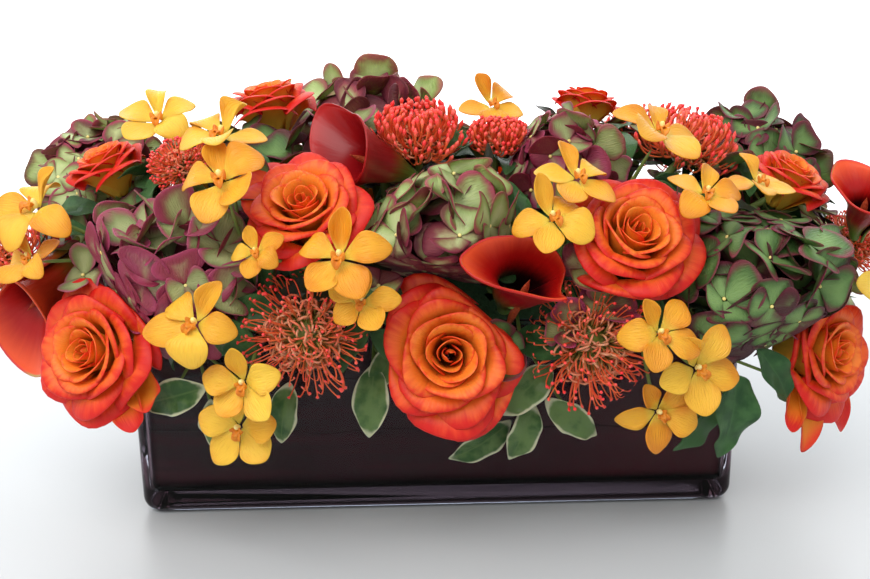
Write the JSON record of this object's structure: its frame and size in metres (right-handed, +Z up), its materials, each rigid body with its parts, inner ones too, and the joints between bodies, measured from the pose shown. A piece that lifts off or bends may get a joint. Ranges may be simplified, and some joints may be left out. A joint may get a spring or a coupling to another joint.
{
  "type": "floral table centerpiece",
  "caption": "Low mound of roses, pincushions, hydrangeas, callas, orchids and variegated leaves in foam, in a rectangular glass vase lined with a dark leaf.",
  "frame": {"origin": "centre of the underside of the vase", "axes": "+X along the vase to the right as seen from the front, +Y from the front to the back, +Z up"},
  "size_m": [0.4726, 0.2482, 0.2177],
  "materials": {
    "glass": "clear polished glass",
    "lining_leaf": "waxy dark plum leaf",
    "foam": "soaked open-celled foam, dull",
    "rose_petal": "velvety, orange-red over orange",
    "pincushion_style": "smooth, slightly waxy coral red",
    "hydrangea_sepal": "matt green, edged with burgundy",
    "calla_spathe": "satin crimson",
    "orchid_petal": "waxy golden yellow",
    "variegated_leaf": "semi-gloss grey-green, cream edge"
  },
  "bodies": {
    "root": {"vase": "glass", "leaf_lining": "lining_leaf", "floral_foam": "foam", "rose_01": "rose_petal", "rose_02": "rose_petal", "rose_03": "rose_petal", "rose_04": "rose_petal", "rose_05": "rose_petal", "rose_06": "rose_petal", "rose_07": "rose_petal", "rose_08": "rose_petal", "rose_09": "rose_petal", "rose_10": "rose_petal", "rose_11": "rose_petal", "rose_12": "rose_petal", "rose_13": "rose_petal", "pincushion_01": "pincushion_style", "pincushion_02": "pincushion_style", "pincushion_03": "pincushion_style", "pincushion_04": "pincushion_style", "pincushion_05": "pincushion_style", "pincushion_06": "pincushion_style", "pincushion_07": "pincushion_style", "pincushion_08": "pincushion_style", "pincushion_09": "pincushion_style", "pincushion_10": "pincushion_style", "hydrangea_01": "hydrangea_sepal", "hydrangea_02": "hydrangea_sepal", "hydrangea_03": "hydrangea_sepal", "hydrangea_04": "hydrangea_sepal", "hydrangea_05": "hydrangea_sepal", "hydrangea_06": "hydrangea_sepal", "hydrangea_07": "hydrangea_sepal", "hydrangea_08": "hydrangea_sepal", "hydrangea_09": "hydrangea_sepal", "hydrangea_10": "hydrangea_sepal", "calla_01": "calla_spathe", "calla_02": "calla_spathe", "calla_03": "calla_spathe", "calla_04": "calla_spathe", "calla_05": "calla_spathe", "orchid_spray_01": "orchid_petal", "orchid_spray_02": "orchid_petal", "orchid_spray_03": "orchid_petal", "orchid_spray_04": "orchid_petal", "orchid_spray_05": "orchid_petal", "orchid_spray_06": "orchid_petal", "orchid_spray_07": "orchid_petal", "orchid_spray_08": "orchid_petal", "orchid_spray_09": "orchid_petal", "orchid_spray_10": "orchid_petal", "orchid_spray_11": "orchid_petal", "orchid_spray_12": "orchid_petal", "orchid_spray_13": "orchid_petal", "leaf_sprig_01": "variegated_leaf", "leaf_sprig_02": "variegated_leaf", "leaf_sprig_03": "variegated_leaf", "leaf_sprig_04": "variegated_leaf", "leaf_sprig_05": "variegated_leaf", "leaf_sprig_06": "variegated_leaf"}
  },
  "joints": []
}
